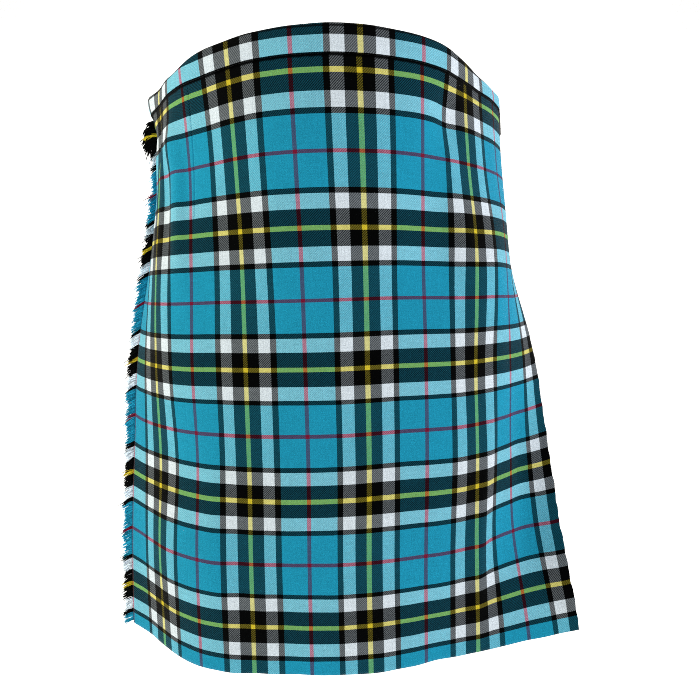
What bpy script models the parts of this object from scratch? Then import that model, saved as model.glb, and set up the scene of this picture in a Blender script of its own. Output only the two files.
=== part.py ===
"""A Scottish kilt, worn and closed: metres, +Z up, the wearer faces -Y and their left is +X.

The origin is the centre of the wearer's waist, 13.5 mm below the waistband's top edge at the front.
Every piece of cloth follows a level section at each height. The over apron has its own line; the
rest lies on a ring that shares that line at the front and closes round the back. Last, the sides of
the waist sag a little below the front.
"""

import functools
import itertools
import math
from collections import namedtuple

import bmesh
import bpy
import numpy as np
from mathutils import Matrix, Vector

# Cloth and cut
CLOTH = 0.0010  # thickness of the wool twill
SEAM = 0.0003  # gap kept between touching pieces
TOP = 0.0135  # top edge of the waistband at the front, above the waist's centre
BAND_HEIGHT = 0.022
BAND_TOP = 0.0013  # how far the panels' raw top edge stays below the band's own
LENGTH = 0.610  # top edge to hem, along the cloth
APRON_WIDTH = 0.533  # fringed crease to pressed edge
TURNED_UNDER = 0.046  # cloth folded back behind the pressed edge
TUCKED = 0.030  # where the pleated cloth starts, behind the first pleat's edge

# How the waist sits lower at the sides and back than at the front
SAG = 0.006  # of the cloth at the top edge, fading out with the drop
SAG_REACH = 0.170  # the drop where it ends
BAND_CUT = 0.0035  # how much less of the band shows there
SAG_FRONT, SAG_SIDE = -0.125, -0.060  # where it begins and is full, behind the waist's centre

# The pleats
PLEATS = 22
UNDERLAY = 0.95  # hidden depth of a pleat, as a share of the width that shows
BODY_INSET = 0.0040  # the pleats' outer folds, in from the ring
LAST_FOLD = 0.010  # the last fold, in beneath the over apron's crease
FULLNESS = 0.62  # handle of the ring's curves round the back, as a share of their sides

# The under apron
UNDER_END = 0.500  # its free edge, along the ring

# The over apron's line at each height: the drop from the top edge, how far its middle stands in
# front of the waist's centre and to its left, and which way the cloth runs, in degrees from +X, at
# ten places evenly spaced from the crease to the pressed edge.
Line = namedtuple("Line", "drop front left crease hip_a flank_a thigh_a front_a"
                          " front_b thigh_b flank_b hip_b pressed")
LINES = (
    Line(0.000, 0.147, -0.005, -75, -61, -44, -22, -9, 9, 27, 47, 53, 80),
    Line(0.100, 0.138, -0.003, -88, -58, -31, -28, -7, 8, 27, 38, 54, 86),
    Line(0.200, 0.127, -0.001, -72, -51, -23, -21, -6, 15, 19, 22, 59, 73),
    Line(0.300, 0.121, -0.001, -56, -44, -24, -11, -6, 10, 16, 28, 44, 45),
    Line(0.400, 0.119, -0.001, -43, -38, -27, -11, -3, 10, 11, 28, 43, 6),
    Line(0.500, 0.119, -0.003, -36, -41, -22, -5, -5, 9, 12, 28, 28, -18),
    Line(0.610, 0.121, -0.003, -26, -40, -24, -3, -4, 6, 17, 11, 9, -3),
)

# The ring at each height: where it leaves the apron's line, its half width on the wearer's left and
# right, how far behind the waist's centre it is widest, its back, where the first pleat shows, and
# the step between two layers of a pleat.
Ring = namedtuple("Ring", "drop leaves left right widest back first_pleat layer")
RINGS = (
    Ring(0.000, 0.533, 0.198, 0.202, 0.036, 0.138, 0.515, 0.0016),
    Ring(0.100, 0.533, 0.203, 0.207, 0.036, 0.150, 0.515, 0.0018),
    Ring(0.200, 0.520, 0.212, 0.222, 0.038, 0.162, 0.505, 0.0022),
    Ring(0.300, 0.500, 0.224, 0.234, 0.040, 0.166, 0.490, 0.0025),
    Ring(0.400, 0.470, 0.234, 0.244, 0.042, 0.168, 0.480, 0.0027),
    Ring(0.500, 0.450, 0.241, 0.251, 0.045, 0.171, 0.475, 0.0029),
    Ring(0.610, 0.440, 0.247, 0.257, 0.050, 0.176, 0.470, 0.0030),
)
DROPS = tuple(line.drop for line in LINES)
PANEL_DROPS = (BAND_TOP, BAND_HEIGHT, *DROPS[1:])

# Fringe
STRANDS = 96
STRAND_LENGTH = 0.023
FRINGE_TOP = 0.036  # first strand, below the top edge
FRINGE_SPLAY = 28  # degrees outward from the apron's run
FRINGE_DROOP = 24  # degrees below level

# Straps and buckles
STRAP_DROP = 0.0255  # middle of the straps' width, below the top edge at the front
STRAP_WIDTH = 0.025
STRAP = 0.0020
STRAP_TIP = (0.85, 0.35)  # the pointed end's last two widths, as shares of the whole
PRONG_HOLE = 0.004  # width of the lane that the prong's hole is cut in
CHAPE_WIDTH = 0.021
CHAPE = 0.0012
KEEPER = (0.038, 0.046)  # its edges, from where the strap starts to show
KEEPER_SLACK = 0.0013  # above and below the strap
WIRE = 0.0012  # radius of the buckle's wire
PRONG = 0.0009  # radius
FRAME_LENGTH = 0.026
FRAME_WIDTH = 0.030
FRAME_CORNER = 0.003
BAR = 0.0242  # the frame's bar, from where the strap starts to show
BAR_INSET = -0.0010
BAR_BEND = 0.0022  # from the bar's middle to the chape's
TIP_INSET = -0.0036  # the frame's far end, lifted over the strap
SLIT = 0.552  # where the left strap comes out, along the ring
SLIT_WIDTH = 0.0075
SLIT_SLACK = 0.0009  # above and below the strap

AZURE = (0.02, 0.33, 0.55)
LEATHER = (0.012, 0.010, 0.009)
STEEL = (0.62, 0.62, 0.60)


def clear_scene():
    for obj in list(bpy.data.objects):
        bpy.data.objects.remove(obj, do_unlink=True)


def material(name, colour, roughness, metallic=0.0):
    made = bpy.data.materials.new(name)
    made.use_nodes = True
    shader = made.node_tree.nodes["Principled BSDF"]
    shader.inputs["Base Color"].default_value = (*colour, 1.0)
    shader.inputs["Roughness"].default_value = roughness
    shader.inputs["Metallic"].default_value = metallic
    return made


@functools.lru_cache(maxsize=None)
def apron_line(row):
    """(across, x, y, heading) of the over apron in a row, closely spaced from crease to edge."""
    line = LINES[row]
    across = np.linspace(0, APRON_WIDTH, 241)
    heading = np.radians(np.interp(across, np.linspace(0, APRON_WIDTH, 10), line[3:]))
    step = across[1]
    x = np.concatenate([[0], np.cumsum((np.cos(heading[1:]) + np.cos(heading[:-1])) / 2 * step)])
    y = np.concatenate([[0], np.cumsum((np.sin(heading[1:]) + np.sin(heading[:-1])) / 2 * step)])
    return across, x - x[120] + line.left, y - y[120] - line.front, heading


@functools.lru_cache(maxsize=None)
def apron_height(across, row):
    """Height of the cloth there: it keeps its length as it leans outward."""
    if row == 0:
        return TOP
    ends = []
    for each in (row - 1, row):
        line_across, x, y, _ = apron_line(each)
        ends.append((np.interp(across, line_across, x), np.interp(across, line_across, y)))
    lean = math.dist(*ends)
    fall = LINES[row].drop - LINES[row - 1].drop
    return apron_height(across, row - 1) - math.sqrt(fall ** 2 - lean ** 2)


def apron_point(across, inward, row):
    line_across, x, y, heading = apron_line(row)
    turn = np.interp(across, line_across, heading)
    inside = min(max(across, 0), APRON_WIDTH)
    beyond = across - inside
    return Vector((
        np.interp(across, line_across, x) + beyond * math.cos(turn) - inward * math.sin(turn),
        np.interp(across, line_across, y) + beyond * math.sin(turn) + inward * math.cos(turn),
        apron_height(inside, row),
    ))


def between_rows(place, along, inward, drop):
    """A point at any drop, on the straight line between the rows above and below it."""
    row = next(i for i in range(len(DROPS) - 1) if drop <= DROPS[i + 1] + 1e-6)
    share = (drop - DROPS[row]) / (DROPS[row + 1] - DROPS[row])
    return place(along, inward, row).lerp(place(along, inward, row + 1), share)


def on_apron(across, inward, drop):
    """A point of the over apron, moved inward from it; past its edges it runs straight on."""
    return between_rows(apron_point, across, inward, drop)


def quarter(start, start_run, end, end_run, first, last):
    """A cubic curve between two points with the directions and handle lengths given."""
    t = np.linspace(0, 1, 41)[1:, None]
    a = np.array(start)
    d = np.array(end)
    b = a + first * np.array(start_run)
    c = d - last * np.array(end_run)
    return (1 - t) ** 3 * a + 3 * t * (1 - t) ** 2 * b + 3 * t * t * (1 - t) * c + t ** 3 * d


@functools.lru_cache(maxsize=None)
def ring_line(row):
    """(along, x, y, heading) of the closed ring in a row, from the over apron's crease."""
    _, leaves, left_side, right_side, widest, back, _, _ = RINGS[row]
    across, x, y, heading = apron_line(row)
    front = np.stack([x, y], 1)[across <= leaves]
    turn = heading[across <= leaves][-1]
    left, rear, right = (left_side, widest), (0, back), (-right_side, widest)
    depth = back - widest
    to_left, to_crease = math.dist(front[-1], left), math.dist(right, front[0])
    points = np.concatenate([
        front,
        quarter(front[-1], (math.cos(turn), math.sin(turn)), left, (0, 1), to_left * 0.5, to_left * 0.4),
        quarter(left, (0, 1), rear, (-1, 0), FULLNESS * depth, FULLNESS * left_side),
        quarter(rear, (-1, 0), right, (0, -1), FULLNESS * right_side, FULLNESS * depth),
        quarter(right, (0, -1), front[0], (math.cos(heading[0]), math.sin(heading[0])),
                to_crease * 0.35, to_crease * 0.35),
    ])
    runs = np.diff(points, axis=0)
    along = np.concatenate([[0], np.cumsum(np.hypot(runs[:, 0], runs[:, 1]))])
    turns = np.unwrap(np.arctan2(runs[:, 1], runs[:, 0]))
    middles = (along[1:] + along[:-1]) / 2
    headings = np.interp(along, middles, turns)
    return along, points[:, 0], points[:, 1], headings


def ring_length(row):
    return ring_line(row)[0][-1]


def ring_point(along, inward, row):
    line, x, y, heading = ring_line(row)
    along %= line[-1]
    turn = np.interp(along, line, heading)
    return Vector((
        np.interp(along, line, x) - inward * math.sin(turn),
        np.interp(along, line, y) + inward * math.cos(turn),
        TOP - DROPS[row],
    ))


def on_ring(along, inward, drop):
    """A point on the ring, moved inward; along may run past either end of it."""
    return between_rows(ring_point, along, inward, drop)


def shown_width(row):
    """How much of each pleat shows."""
    return (ring_length(row) + LAST_FOLD - RINGS[row].first_pleat) / PLEATS


def pleat_point(count, inward, row):
    """A point on the ring, so many pleats along from where the first one shows."""
    return ring_point(RINGS[row].first_pleat + count * shown_width(row), inward, row)


def on_pleats(count, inward, drop):
    return between_rows(pleat_point, count, inward, drop)


def sagging(grid):
    """The grid of points with the waist's sag, which all the cloth shares."""
    for point in itertools.chain.from_iterable(grid):
        side = min(max((point.y - SAG_FRONT) / (SAG_SIDE - SAG_FRONT), 0), 1)
        side *= side * (3 - 2 * side)
        drop = TOP - point.z
        fade = max(1 - drop / SAG_REACH, 0) ** 2
        above_seam = max(1 - drop / BAND_HEIGHT, 0)
        point.z -= side * (SAG * fade + BAND_CUT * above_seam)
    return grid


def sheet(name, grid, thickness, finish, holes=()):
    """One wall of cloth or leather through a grid of points on its middle surface."""
    columns = len(grid[0])
    points = [point for row in grid for point in row]
    faces = []
    for r, c in itertools.product(range(len(grid) - 1), range(columns - 1)):
        if (r, c) in holes:
            continue
        near, far = r * columns + c, (r + 1) * columns + c
        corners = (near, near + 1, far + 1, far)
        # Layers that lie close are split the same way, along the shorter diagonal.
        first = (points[near] - points[far + 1]).length > (points[near + 1] - points[far]).length
        a, b, c, d = corners[first:] + corners[:first]
        faces += [(a, b, c), (a, c, d)]
    mesh = bpy.data.meshes.new(name)
    mesh.from_pydata(points, [], faces)
    mesh.materials.append(finish)
    obj = bpy.data.objects.new(name, mesh)
    part_collection.objects.link(obj)
    wall = obj.modifiers.new("Wall", "SOLIDIFY")
    wall.thickness = thickness
    wall.offset = 0
    wall.use_even_offset = True
    return obj


def apron_places():
    return np.linspace(0, APRON_WIDTH, 25)


def make_over_apron():
    """The front panel, its pressed edge folded under."""
    layer = 0.0014
    path = [(across, 0) for across in apron_places()]
    path += [(across, layer) for across in reversed(apron_places())
             if across > APRON_WIDTH - TURNED_UNDER]
    grid = [[on_apron(a, v, drop) for a, v in path] for drop in PANEL_DROPS]
    return sheet("over_apron", sagging(grid), CLOTH, material("tartan_over_apron", AZURE, 0.85))


def pleat_path(row):
    """The pleated cloth's course in a row, as (along, inward): it goes forward on each face,
    back beneath it from the fold, and forward again to come out as the next face."""
    *_, first_pleat, layer = RINGS[row]
    shown = shown_width(row)
    hidden = UNDERLAY * shown

    def inward(along, fold, level):
        return BODY_INSET + layer * (level + 2 * (fold - along) / shown)

    path = [(along, inward(along, first_pleat + shown, 0))
            for along in np.linspace(first_pleat - TUCKED, first_pleat, 3)[:-1]]
    for pleat in range(1, PLEATS + 1):
        fold = first_pleat + pleat * shown
        for along in (fold - shown, fold - shown / 2, fold):
            path.append((along, inward(along, fold, 0)))
        for along in (fold, fold - hidden / 2, fold - hidden):
            path.append((along, inward(along, fold, 1)))
        for along in (fold - hidden, fold - hidden / 2):
            path.append((along, inward(along, fold, 2)))
    path.append((fold, inward(fold, fold, 2)))
    return path


def make_pleated_back():
    grid = [[ring_point(along, inward, row) for along, inward in pleat_path(row)]
            for row in range(len(RINGS))]
    upper, lower = grid[:2]
    grid[:1] = [[a.lerp(b, drop / DROPS[1]) for a, b in zip(upper, lower)]
                for drop in PANEL_DROPS[:2]]
    return sheet("pleated_back", sagging(grid), CLOTH, material("tartan_pleats", AZURE, 0.85))


def under_inset(along, drop):
    """The under apron lies behind the last pleat at one side and inside the first at the other."""
    near = BODY_INSET + 2 * np.interp(drop, DROPS, [ring.layer for ring in RINGS])
    far = 0.0155 + 0.006 * drop / LENGTH
    share = min(max((along - 0.20) / (UNDER_END - 0.20), 0), 1)
    return near + (far - near) * share * share * (3 - 2 * share)


def under_places():
    return np.linspace(LAST_FOLD + 0.0012, UNDER_END, 24)


def make_under_apron():
    grid = [
        [on_ring(along, under_inset(along, drop), drop) for along in under_places()]
        for drop in PANEL_DROPS
    ]
    return sheet("under_apron", sagging(grid), CLOTH, material("tartan_under_apron", AZURE, 0.85))


def band_path(outer, inner):
    """Up the inside, over the top and down the outside, as (inward, drop)."""
    half = CLOTH / 2
    return ((inner, BAND_HEIGHT), (inner, half), (outer, half), (outer, BAND_HEIGHT))


def make_waistbands():
    clear = CLOTH + SEAM
    behind = 0.0014 + clear
    over = [*apron_places(), APRON_WIDTH + clear]
    ends = [(along - RINGS[0].first_pleat) / shown_width(0)
            for along in (APRON_WIDTH + 0.0045, ring_length(0) - 0.0010)]
    back = [ends[0], *(k / 2 for k in range(2, 2 * PLEATS - 1)), ends[1]]
    stretches = (
        ("waistband_over", on_apron, over,
         lambda along: (-clear, clear + (behind - clear) * min(along / (APRON_WIDTH - TURNED_UNDER), 1))),
        ("waistband_under", on_ring, [*under_places(), UNDER_END + clear],
         lambda along: (under_inset(along, 0) - 1.2 * clear, under_inset(along, 0) + 1.2 * clear)),
        ("waistband_back", on_pleats, back,
         lambda count: (BODY_INSET - clear, BODY_INSET + 4 * RINGS[0].layer + 2 * clear)),
    )
    made = {}
    for name, place, stations, sides in stretches:
        grid = [[place(s, inward, drop) for inward, drop in band_path(*sides(s))] for s in stations]
        grid = sagging(list(zip(*grid)))
        made[name] = sheet(name, grid, CLOTH, material("tartan_" + name, AZURE, 0.85))
    return made


def make_fringe():
    """A narrow strip behind the crease, its outer edge drawn out into strands."""
    strip = 0.0062
    edge = -0.0006
    inset = 0.0017
    half = CLOTH / 2
    drops = np.linspace(FRINGE_TOP, LENGTH - 0.004, 2 * STRANDS)
    corners = ((edge, inset - half), (edge, inset + half), (edge + strip, inset + half),
               (edge + strip, inset - half))
    mesh = bmesh.new()
    grid = sagging([[on_apron(a, v, drop) for a, v in corners] for drop in drops])
    loops = [[mesh.verts.new(point) for point in loop] for loop in grid]
    mesh.faces.new(list(reversed(loops[0])))
    mesh.faces.new(loops[-1])
    roots = []
    for i, (upper, lower) in enumerate(zip(loops[:-1], loops[1:])):
        for c in range(4):
            face = mesh.faces.new((upper[c], upper[(c + 1) % 4], lower[(c + 1) % 4], lower[c]))
            if c == 0 and i % 2 == 0:
                roots.append((face, drops[i]))
    mesh.normal_update()
    for k, (face, drop) in enumerate(roots):
        run = on_apron(-0.01, 0, drop) - on_apron(0, 0, drop)
        run.z = 0
        run.rotate(Matrix.Rotation(math.radians(FRINGE_SPLAY + 7 * math.sin(2.3 * k)), 4, "Z"))
        run.normalize()
        droop = math.radians(FRINGE_DROOP + 9 * math.sin(1.7 * k))
        length = STRAND_LENGTH * (1 + 0.14 * math.sin(3.1 * k))
        for share, fall in ((0.5, 0.6), (0.5, 1.3)):
            step = run * math.cos(droop * fall) + Vector((0, 0, -math.sin(droop * fall)))
            face = bmesh.ops.extrude_discrete_faces(mesh, faces=[face])["faces"][0]
            bmesh.ops.translate(mesh, verts=face.verts, vec=step * length * share)
            centre = face.calc_center_median()
            for vert in face.verts:
                vert.co = centre + (vert.co - centre) * 0.72
    data = bpy.data.meshes.new("fringe")
    mesh.to_mesh(data)
    mesh.free()
    data.materials.append(material("tartan_fringe", (0.10, 0.38, 0.50), 0.9))
    obj = bpy.data.objects.new("fringe", data)
    part_collection.objects.link(obj)
    return obj


def strip_grid(path, width, tip=()):
    """A strap's middle surface: a row of points for each edge of its three lanes, the last few of
    them narrowed to the shares in tip."""
    lanes = (-width / 2, -PRONG_HOLE / 2, PRONG_HOLE / 2, width / 2)
    shares = (*(1 for _ in path[len(tip):]), *tip)
    return [[on_ring(along, inward, STRAP_DROP - lane * share) for lane in lanes]
            for (along, inward), share in zip(path, shares)]


def make_buckle(side, start, way):
    """The chape, keeper, frame and prong that a strap closes in. way is the sign of the strap's run."""

    def at(distance):
        return start + way * distance

    leather = material("leather_chape_" + side, LEATHER, 0.45)
    steel = material("steel_" + side, STEEL, 0.3, 1.0)
    outer, inner = BAR_INSET - BAR_BEND, BAR_INSET + BAR_BEND
    loop = [(at(d), inner) for d in (0.060, 0.051, 0.042, 0.033)]
    loop += [(at(BAR - BAR_BEND * math.sin(turn)), BAR_INSET + BAR_BEND * math.cos(turn))
             for turn in np.linspace(0, math.pi, 5)]
    loop += [(at(d), outer) for d in (0.033, 0.042, 0.051, 0.056)]
    sheet("chape_" + side, strip_grid(loop, CHAPE_WIDTH), CHAPE, leather)

    reach = STRAP_WIDTH / 2 + KEEPER_SLACK
    staple = ((reach, 0.0012), (reach, -0.0076), (-reach, -0.0076), (-reach, 0.0012))
    grid = [[on_ring(at(d), inward, STRAP_DROP - height) for height, inward in staple]
            for d in KEEPER]
    sheet("keeper_" + side, grid, CHAPE, material("leather_keeper_" + side, LEATHER, 0.45))

    far, half = BAR - FRAME_LENGTH, FRAME_WIDTH / 2
    outline = ((far + FRAME_CORNER, half), (BAR - FRAME_CORNER, half),
               (BAR, half - FRAME_CORNER), (BAR, FRAME_CORNER - half),
               (BAR - FRAME_CORNER, -half), (far + FRAME_CORNER, -half),
               (far, FRAME_CORNER - half), (far, half - FRAME_CORNER))
    tilt = (BAR_INSET - TIP_INSET) / FRAME_LENGTH
    frame = [on_ring(at(d), TIP_INSET + tilt * (d - far), STRAP_DROP - height)
             for d, height in outline]
    tube("frame_" + side, frame, WIRE, steel, closed=True)
    prong = [on_ring(at(d), inward, STRAP_DROP) for d, inward in
             ((0.0200, -0.0014), (0.0150, -0.0034), (0.0075, -0.0058), (-0.0040, -0.0061))]
    tube("prong_" + side, prong, PRONG, steel, closed=False)


def tube(name, points, radius, finish, closed):
    curve = bpy.data.curves.new(name, "CURVE")
    curve.dimensions = "3D"
    curve.bevel_depth = radius
    curve.bevel_resolution = 1
    curve.use_fill_caps = not closed
    spline = curve.splines.new("POLY")
    spline.points.add(len(points) - 1)
    for point, place in zip(spline.points, points):
        point.co = (*place, 1)
    spline.use_cyclic_u = closed
    curve.materials.append(finish)
    obj = bpy.data.objects.new(name, curve)
    part_collection.objects.link(obj)
    return obj


def make_straps():
    """Both straps, each from where it is sewn to its pointed end, with the prong's hole."""
    shared = ((0.0, -0.0010), (0.008, -0.0026), (0.0175, -0.0050), (0.0205, -0.0053),
              (0.029, -0.0053), (0.038, -0.0053), (0.047, -0.0053), (0.056, -0.0053),
              (0.063, -0.0053), (0.070, -0.0053))
    right_start, right_way = -0.056, -1
    right = [(-0.0008, 0.0002), (-0.010, 0.0002), (-0.020, 0.0), (-0.030, -0.0004), (-0.040, -0.0010),
             (-0.048, -0.0010)]
    left_start, left_way = SLIT + 0.030, 1
    left = [(UNDER_END + 0.002, 0.0160), (UNDER_END + 0.016, 0.0165), (UNDER_END + 0.030, 0.0168),
            (SLIT - 0.008, 0.0168), (SLIT - 0.0015, 0.0155),
            (SLIT, 0.0125), (SLIT + 0.0004, 0.0020), (SLIT + 0.003, -0.0006),
            (SLIT + 0.012, -0.0010), (SLIT + 0.021, -0.0010)]
    for side, sewn, start, way in (("right", right, right_start, right_way),
                                   ("left", left, left_start, left_way)):
        path = sewn + [(start + way * d, inward) for d, inward in shared]
        sheet("strap_" + side, strip_grid(path, STRAP_WIDTH, STRAP_TIP), STRAP,
              material("leather_strap_" + side, LEATHER, 0.45), holes=((len(sewn) + 1, 1),))
        make_buckle(side, start, way)


def cut_slit(pieces):
    """The slit that lets the under apron's strap out through the band and pleats."""
    outside = on_ring(SLIT, -0.004, STRAP_DROP)
    inside = on_ring(SLIT, 0.0145, STRAP_DROP)
    run = inside - outside
    mesh = bpy.data.meshes.new("slit_cutter")
    box = bmesh.new()
    bmesh.ops.create_cube(box, size=1)
    height = STRAP_WIDTH + 2 * SLIT_SLACK
    bmesh.ops.scale(box, vec=(SLIT_WIDTH, run.length, height), verts=box.verts)
    box.to_mesh(mesh)
    box.free()
    cutter = bpy.data.objects.new("slit_cutter", mesh)
    cutter.location = (outside + inside) / 2
    cutter.rotation_euler.z = math.atan2(run.y, run.x) - math.pi / 2
    cutter.hide_render = True
    cutter.display_type = "WIRE"
    cutter_collection.objects.link(cutter)
    for piece in pieces:
        cut = piece.modifiers.new("Slit", "BOOLEAN")
        cut.operation = "DIFFERENCE"
        cut.object = cutter


clear_scene()
part_collection = bpy.data.collections.new("scottish_kilt")
bpy.context.scene.collection.children.link(part_collection)
cutter_collection = bpy.data.collections.new("cutters")
bpy.context.scene.collection.children.link(cutter_collection)

make_over_apron()
pleats = make_pleated_back()
make_under_apron()
bands = make_waistbands()
make_fringe()
make_straps()
cut_slit((pleats, bands["waistband_back"]))
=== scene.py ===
"""The finished looks of a worn Scottish kilt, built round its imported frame.

Metres, +Z up; the wearer faces -Y and their left is +X. Every piece of cloth is a fine shell on the
frame's own form, woven in its tartan by the material.
"""

import functools
import math
from collections import namedtuple

import bpy
import numpy as np
from mathutils import Matrix, Vector


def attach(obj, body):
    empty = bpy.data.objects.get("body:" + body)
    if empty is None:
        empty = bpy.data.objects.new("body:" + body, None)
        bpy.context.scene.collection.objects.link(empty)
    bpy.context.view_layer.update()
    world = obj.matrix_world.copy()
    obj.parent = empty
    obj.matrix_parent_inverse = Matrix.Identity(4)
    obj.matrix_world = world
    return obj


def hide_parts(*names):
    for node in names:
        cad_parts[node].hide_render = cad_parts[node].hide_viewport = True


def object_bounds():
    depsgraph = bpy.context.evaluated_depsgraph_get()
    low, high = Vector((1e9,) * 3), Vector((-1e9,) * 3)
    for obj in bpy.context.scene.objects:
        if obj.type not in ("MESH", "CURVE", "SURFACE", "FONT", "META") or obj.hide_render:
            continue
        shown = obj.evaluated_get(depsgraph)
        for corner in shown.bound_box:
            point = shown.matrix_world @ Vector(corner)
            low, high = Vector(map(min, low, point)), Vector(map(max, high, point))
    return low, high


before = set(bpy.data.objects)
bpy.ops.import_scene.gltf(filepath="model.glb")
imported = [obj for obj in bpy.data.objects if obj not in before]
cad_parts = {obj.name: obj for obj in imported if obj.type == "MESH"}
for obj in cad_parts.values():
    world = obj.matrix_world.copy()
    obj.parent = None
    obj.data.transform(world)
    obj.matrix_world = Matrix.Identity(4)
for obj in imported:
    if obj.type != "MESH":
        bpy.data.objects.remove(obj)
cad_box = [list(corner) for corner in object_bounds()]

# -----------------------------------------------------------------------------
# The over apron: one flat breadth of worsted tartan across the front, fringed at the wearer's
# right, pressed back under itself at their left, and cut with its hem on the selvedge.

TOP = 0.0135  # top edge of the waistband at the front, above the waist's centre
LENGTH = 0.610  # top edge to hem, along the cloth
BAND_HEIGHT = 0.022
BAND_TOP = 0.0013  # how far the panels' raw tops stay below the band's fold
BAND_MIDDLE = 0.012  # the drop of their next row, behind the band
APRON_WIDTH = 0.533  # fringed crease to pressed edge
TURNED_UNDER = 0.046
TURN_ALLOWANCE = 0.002  # the cloth that the turn itself takes up
APRON_LAYER = 0.0014  # from the apron's face to the layer turned under
CLOTH = 0.0008  # thickness of the shell
WARP_SETT = 0.1195  # one repeat of the tartan across the cloth
WEFT_SETT = 0.1320  # and down it
TOP_IN_SETT = 0.24  # where the top edge falls in the repeat

# The drop from the top edge, how far the apron's middle stands in front of the waist's centre and
# to its left, and the cloth's heading in degrees at ten even places from crease to pressed edge.
Line = namedtuple("Line", "drop front left crease hip_a flank_a thigh_a front_a"
                          " front_b thigh_b flank_b hip_b pressed")
LINES = np.array((
    Line(0.000, 0.147, -0.005, -75, -61, -44, -22, -9, 9, 27, 47, 53, 80),
    Line(0.100, 0.138, -0.003, -88, -58, -31, -28, -7, 8, 27, 38, 54, 86),
    Line(0.200, 0.127, -0.001, -72, -51, -23, -21, -6, 15, 19, 22, 59, 73),
    Line(0.300, 0.121, -0.001, -56, -44, -24, -11, -6, 10, 16, 28, 44, 45),
    Line(0.400, 0.119, -0.001, -43, -38, -27, -11, -3, 10, 11, 28, 43, 6),
    Line(0.500, 0.119, -0.003, -36, -41, -22, -5, -5, 9, 12, 28, 28, -18),
    Line(0.610, 0.121, -0.003, -26, -40, -24, -3, -4, 6, 17, 11, 9, -3),
))
DROPS = LINES[:, 0]
FINE_ACROSS = np.linspace(0, APRON_WIDTH, 534)
FINE_DROPS = np.linspace(0, LENGTH, 123)


def through(at, places, values):
    """A smooth curve through the values at those places; each row of values is a curve of its own."""
    slopes = np.gradient(values, places, axis=-1)
    left = np.clip(np.searchsorted(places, at, side="right") - 1, 0, len(places) - 2)
    width = places[left + 1] - places[left]
    t = (at - places[left]) / width
    a, b = values[..., left], values[..., left + 1]
    p, q = slopes[..., left] * width, slopes[..., left + 1] * width
    return (a * (1 + 2 * t) * (1 - t) ** 2 + p * t * (1 - t) ** 2
            + b * t * t * (3 - 2 * t) - q * t * t * (1 - t))


@functools.lru_cache(maxsize=None)
def apron_line(drop):
    """x, y and heading of the apron's section at a drop, at every millimetre across."""
    _, front, left, *headings = through(drop, DROPS, LINES.T)
    places = np.linspace(0, APRON_WIDTH, len(headings))
    heading = np.radians(through(FINE_ACROSS, places, np.array(headings)))
    step = FINE_ACROSS[1] / 2
    x, y = (np.concatenate([[0], np.cumsum(part[1:] + part[:-1]) * step])
            for part in (np.cos(heading), np.sin(heading)))
    middle = len(x) // 2
    return x - x[middle] + left, y - y[middle] - front, heading


def apron_heights():
    """Heights of the cloth, which keeps its length as it leans outward."""
    lines = np.array([apron_line(drop)[:2] for drop in FINE_DROPS])
    leans = np.hypot(*np.moveaxis(np.diff(lines, axis=0), 1, 0))
    falls = np.sqrt(FINE_DROPS[1] ** 2 - leans ** 2)
    return TOP - np.concatenate([np.zeros((1, len(FINE_ACROSS))), np.cumsum(falls, axis=0)])


HEIGHTS = apron_heights()

# Soft troughs (negative) and ridges of the worn cloth, pressed over the hips and hanging below:
# place in setts from the crease, where it starts and ends down the cloth, how far it drifts
# across on the way, its half width and its height.
Fold = namedtuple("Fold", "sett start end drift width height")
APRON_FOLDS = (
    Fold(0.23, -0.060, 0.056, 0.000, 0.019, 0.0085),
    Fold(0.74, 0.040, 0.105, 0.000, 0.012, 0.0028),
    Fold(0.30, 0.03, 0.12, -0.004, 0.007, 0.0022),
    Fold(0.47, 0.02, 0.10, 0.004, 0.006, -0.0022),
    Fold(0.56, 0.04, 0.13, 0.003, 0.005, 0.0014),
    Fold(0.66, 0.05, 0.23, 0.002, 0.010, -0.0030),
    Fold(0.84, 0.03, 0.24, 0.001, 0.011, 0.0028),
    Fold(0.95, 0.04, 0.20, 0.004, 0.009, -0.0012),
    Fold(1.10, 0.34, 0.61, 0.012, 0.020, 0.0016),
    Fold(1.34, 0.40, 0.63, 0.010, 0.016, -0.0018),
    Fold(1.72, 0.05, 0.30, 0.006, 0.022, 0.0009),
    Fold(2.12, 0.33, 0.62, -0.006, 0.024, -0.0012),
    Fold(2.62, 0.38, 0.62, 0.004, 0.022, 0.0012),
    Fold(3.05, 0.04, 0.26, 0.010, 0.016, -0.0012),
    Fold(3.28, 0.020, 0.105, 0.000, 0.015, -0.0048),
    Fold(3.34, 0.095, 0.240, 0.006, 0.017, 0.0036),
    Fold(3.62, 0.26, 0.56, 0.002, 0.012, -0.0022),
    Fold(3.72, 0.28, 0.64, -0.030, 0.012, 0.0048),
    Fold(4.10, 0.30, 0.62, 0.004, 0.013, -0.0020),
    Fold(4.24, 0.36, 0.62, 0.004, 0.012, -0.0012),
)


def swell(at, start, end):
    """Rises from nothing at the start to one in the middle and back to nothing at the end."""
    return np.sin(math.pi * np.clip((at - start) / (end - start), 0, 1)) ** 2


def fold_relief(folds, setts, drop):
    """How far the cloth stands out at a drop, from its folds and a slight unevenness all over."""
    across = setts * WARP_SETT
    relief = (0.00022 * np.sin(across * 71 + 3.0 * math.sin(drop * 9))
              + 0.00016 * np.sin(across * 167 - drop * 21)
              + 0.00012 * np.sin(across * 53 + drop * 47))
    for fold in folds:
        middle = fold.sett * WARP_SETT + fold.drift * (drop - fold.start) / (fold.end - fold.start)
        height = fold.height * swell(drop, fold.start, fold.end)
        relief = relief + height * np.exp(-((across - middle) / fold.width) ** 2)
    return relief


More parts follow.
